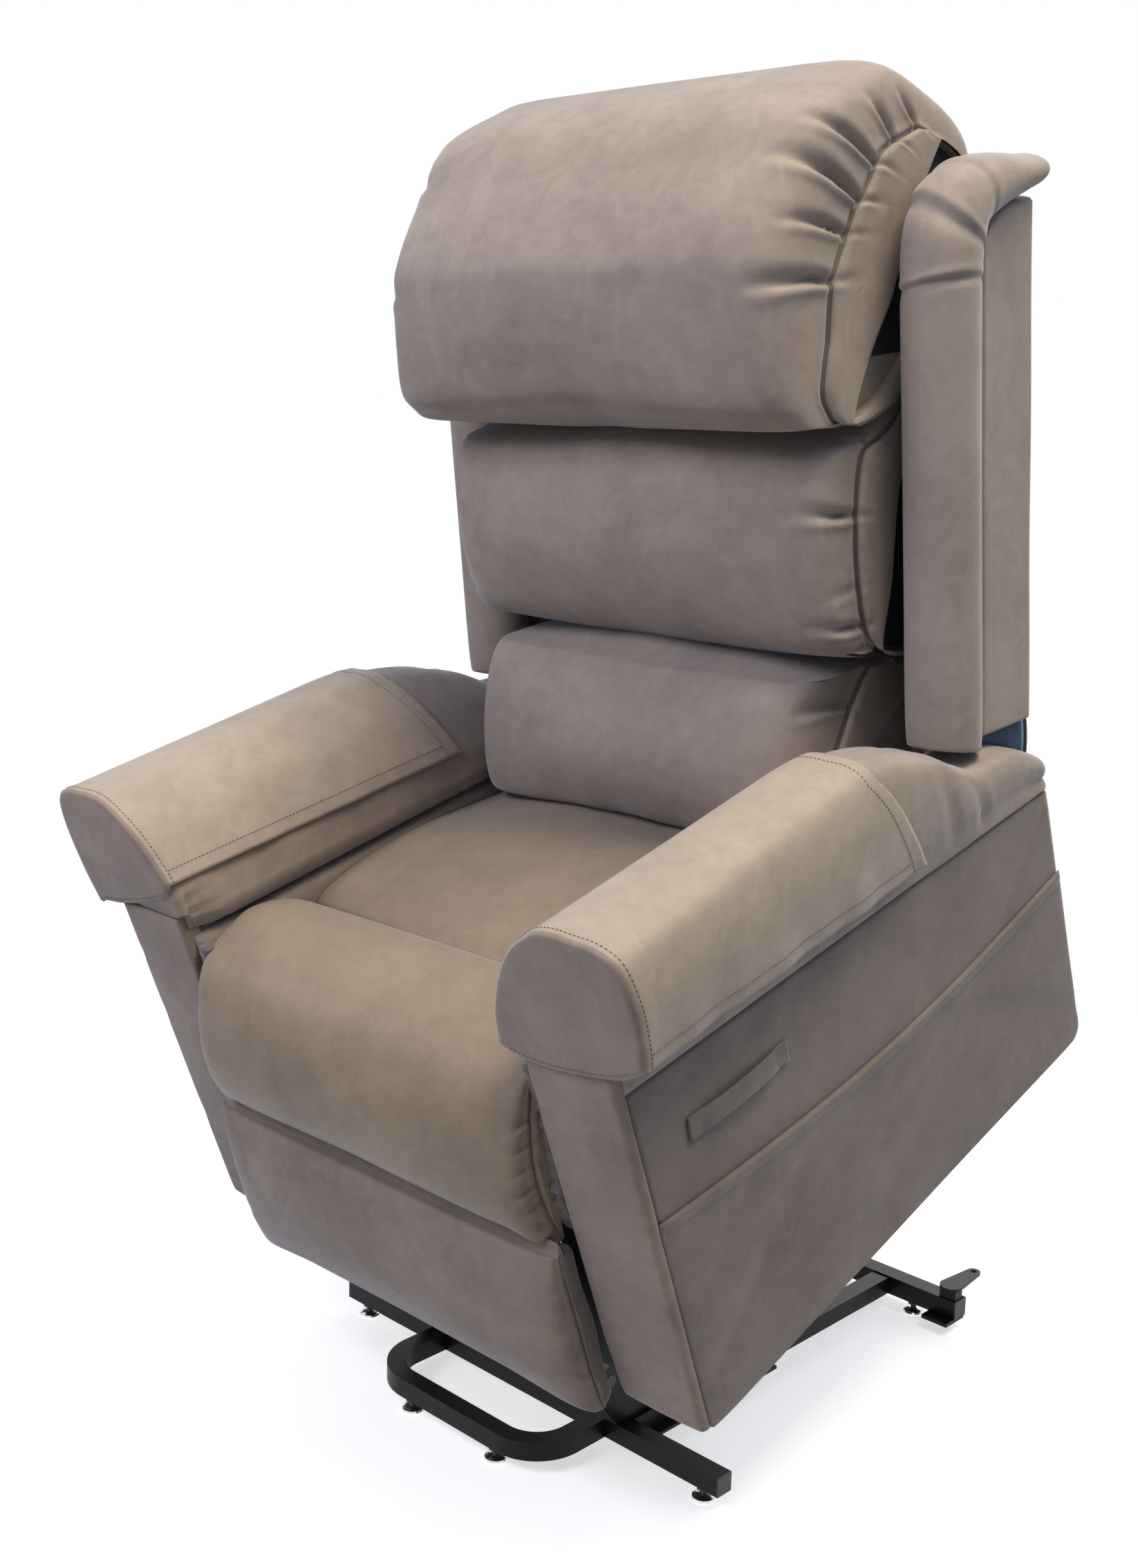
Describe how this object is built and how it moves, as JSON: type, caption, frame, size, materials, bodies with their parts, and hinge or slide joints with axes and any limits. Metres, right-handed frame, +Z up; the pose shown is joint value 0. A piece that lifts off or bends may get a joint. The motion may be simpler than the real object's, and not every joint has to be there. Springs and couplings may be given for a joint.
{
  "type": "lift recliner chair",
  "caption": "Powered recliner with a tilting lift base, winged back with stacked pillows, padded arms with loose sleeves and a fold-out legrest.",
  "frame": {"origin": "on the floor, under the middle of the raised chair's bounding box", "axes": "+Z up, the sitter faces -Y, +X to the sitter's left"},
  "size_m": [0.9084, 0.9325, 1.538],
  "materials": {
    "suede": "brushed microfibre, matt",
    "suede_dark": "brushed microfibre, matt",
    "inner_cover": "smooth dark cloth",
    "gusset": "stretch knit",
    "webbing": "woven elastic",
    "black_steel": "satin powder coat",
    "zinc_steel": "zinc plated",
    "chrome": "polished",
    "plastic": "moulded",
    "plywood": "raw plywood"
  },
  "bodies": {
    "base": {"front_crossbar": "black_steel", "front_loop": "black_steel", "side_rails": "black_steel", "rear_crossbar": "black_steel", "tube_end_caps": "plastic", "base_plates": "black_steel", "rear_ear_brackets": "black_steel", "lift_brackets": "black_steel", "lift_bracket_pins": "zinc_steel", "motor_clevis": "black_steel", "foot_stems": "plastic", "foot_glides": "chrome"},
    "lift_arm_body": {"lift_arms": "black_steel", "lift_torque_tube": "black_steel"},
    "stay_body": {"stay_links": "black_steel"},
    "lift_motor_body": {"lift_motor_housing": "plastic"},
    "lift_rod_body": {"lift_rod": "zinc_steel"},
    "chassis": {"side_plates": "zinc_steel", "cross_tubes": "black_steel", "pivot_lugs": "black_steel", "chassis_pivot_pins": "zinc_steel", "seat_frame": "plywood", "seat_webbing": "webbing", "control_box": "plastic", "power_inlet": "plastic", "recline_motor": "plastic", "legrest_motor": "plastic", "arm_boxes": "plywood", "arm_side_panels": "suede", "arm_front_panels": "suede", "side_pockets": "suede_dark", "arm_roll_left": "suede", "arm_roll_right": "suede", "arm_inner_pads": "suede", "arm_sleeve_left": "suede", "arm_sleeve_right": "suede", "handset_strap": "suede_dark", "seat_cushion": "suede", "front_roll": "suede", "rear_cover_panel": "suede_dark"},
    "backrest": {"back_posts": "black_steel", "back_cross_bars": "black_steel", "back_pivot_frame": "black_steel", "back_box": "plywood", "back_inner_cover": "inner_cover", "back_rear_panel": "suede", "wing_panels": "suede", "wing_roll_left": "suede", "wing_roll_right": "suede", "back_gussets": "gusset", "lower_pillow": "suede", "middle_pillow": "suede", "head_pillow": "suede"},
    "recline_carriage_body": {"recline_carriage": "zinc_steel"},
    "legrest_drive_body": {"legrest_drive": "zinc_steel"},
    "legrest_link_body": {"legrest_links": "zinc_steel"},
    "legrest_panel_body": {"legrest_board": "plywood", "legrest_pad": "suede", "legrest_brackets": "zinc_steel"},
    "legrest_carriage_body": {"legrest_carriage": "zinc_steel"}
  },
  "joints": [
    {"name": "lift", "type": "hinge", "parent": "base", "child": "lift_arm_body", "pos_m": [0, -0.14617, 0.1], "axis": [1, 0, 0], "range_deg": [-39.48, 0]},
    {"name": "stay_swing", "type": "hinge", "parent": "base", "child": "stay_body", "pos_m": [0, -0.16888, 0.14], "axis": [1, 0, 0], "range_deg": [-40.08, 0.05]},
    {"name": "lift_motor_swing", "type": "hinge", "parent": "base", "child": "lift_motor_body", "pos_m": [0, 0.3663, 0.062], "axis": [1, 0, 0], "range_deg": [-0.05, 1.16]},
    {"name": "lift_rod_travel", "type": "slide", "parent": "lift_motor_body", "child": "lift_rod_body", "axis": [0, -0.9782, 0.2076], "range_m": [-0.0465, 0.0002]},
    {"name": "body_tilt", "type": "hinge", "parent": "lift_arm_body", "child": "chassis", "pos_m": [0, 0.26993, 0.43234], "axis": [1, 0, 0], "range_deg": [-0.05, 19.53]},
    {"name": "recline", "type": "hinge", "parent": "chassis", "child": "backrest", "pos_m": [0, 0.22143, 0.60944], "axis": [-1, 0, 0], "range_deg": [0, 35]},
    {"name": "recline_carriage_travel", "type": "slide", "parent": "chassis", "child": "recline_carriage_body", "axis": [0, -0.9397, -0.342], "range_m": [-0.0002, 0.06298]},
    {"name": "legrest", "type": "hinge", "parent": "chassis", "child": "legrest_drive_body", "pos_m": [0, -0.24456, 0.41323], "axis": [-1, 0, 0], "range_deg": [0, 96.9]},
    {"name": "legrest_link_swing", "type": "hinge", "parent": "legrest_drive_body", "child": "legrest_link_body", "pos_m": [0, -0.15157, 0.28303], "axis": [1, 0, 0], "range_deg": [-0.05, 78.05]},
    {"name": "legrest_panel_swing", "type": "hinge", "parent": "legrest_link_body", "child": "legrest_panel_body", "pos_m": [0, -0.3069, 0.32136], "axis": [-1, 0, 0], "range_deg": [-0.05, 71.15]},
    {"name": "legrest_carriage_travel", "type": "slide", "parent": "chassis", "child": "legrest_carriage_body", "axis": [0, -0.9397, -0.342], "range_m": [-0.0002, 0.09749]}
  ],
  "couplings": [
    {"joint": "stay_swing", "follows": "lift", "ratio": 1.0141},
    {"joint": "lift_motor_swing", "follows": "lift", "ratio": -0.028015},
    {"joint": "lift_rod_travel", "follows": "lift", "m_per_rad": 0.067202},
    {"joint": "body_tilt", "follows": "lift", "ratio": -0.49336},
    {"joint": "recline_carriage_travel", "follows": "recline", "m_per_rad": 0.10278},
    {"joint": "legrest_link_swing", "follows": "legrest", "ratio": 0.80495},
    {"joint": "legrest_panel_swing", "follows": "legrest", "ratio": 0.73375},
    {"joint": "legrest_carriage_travel", "follows": "legrest", "m_per_rad": 0.057524}
  ]
}
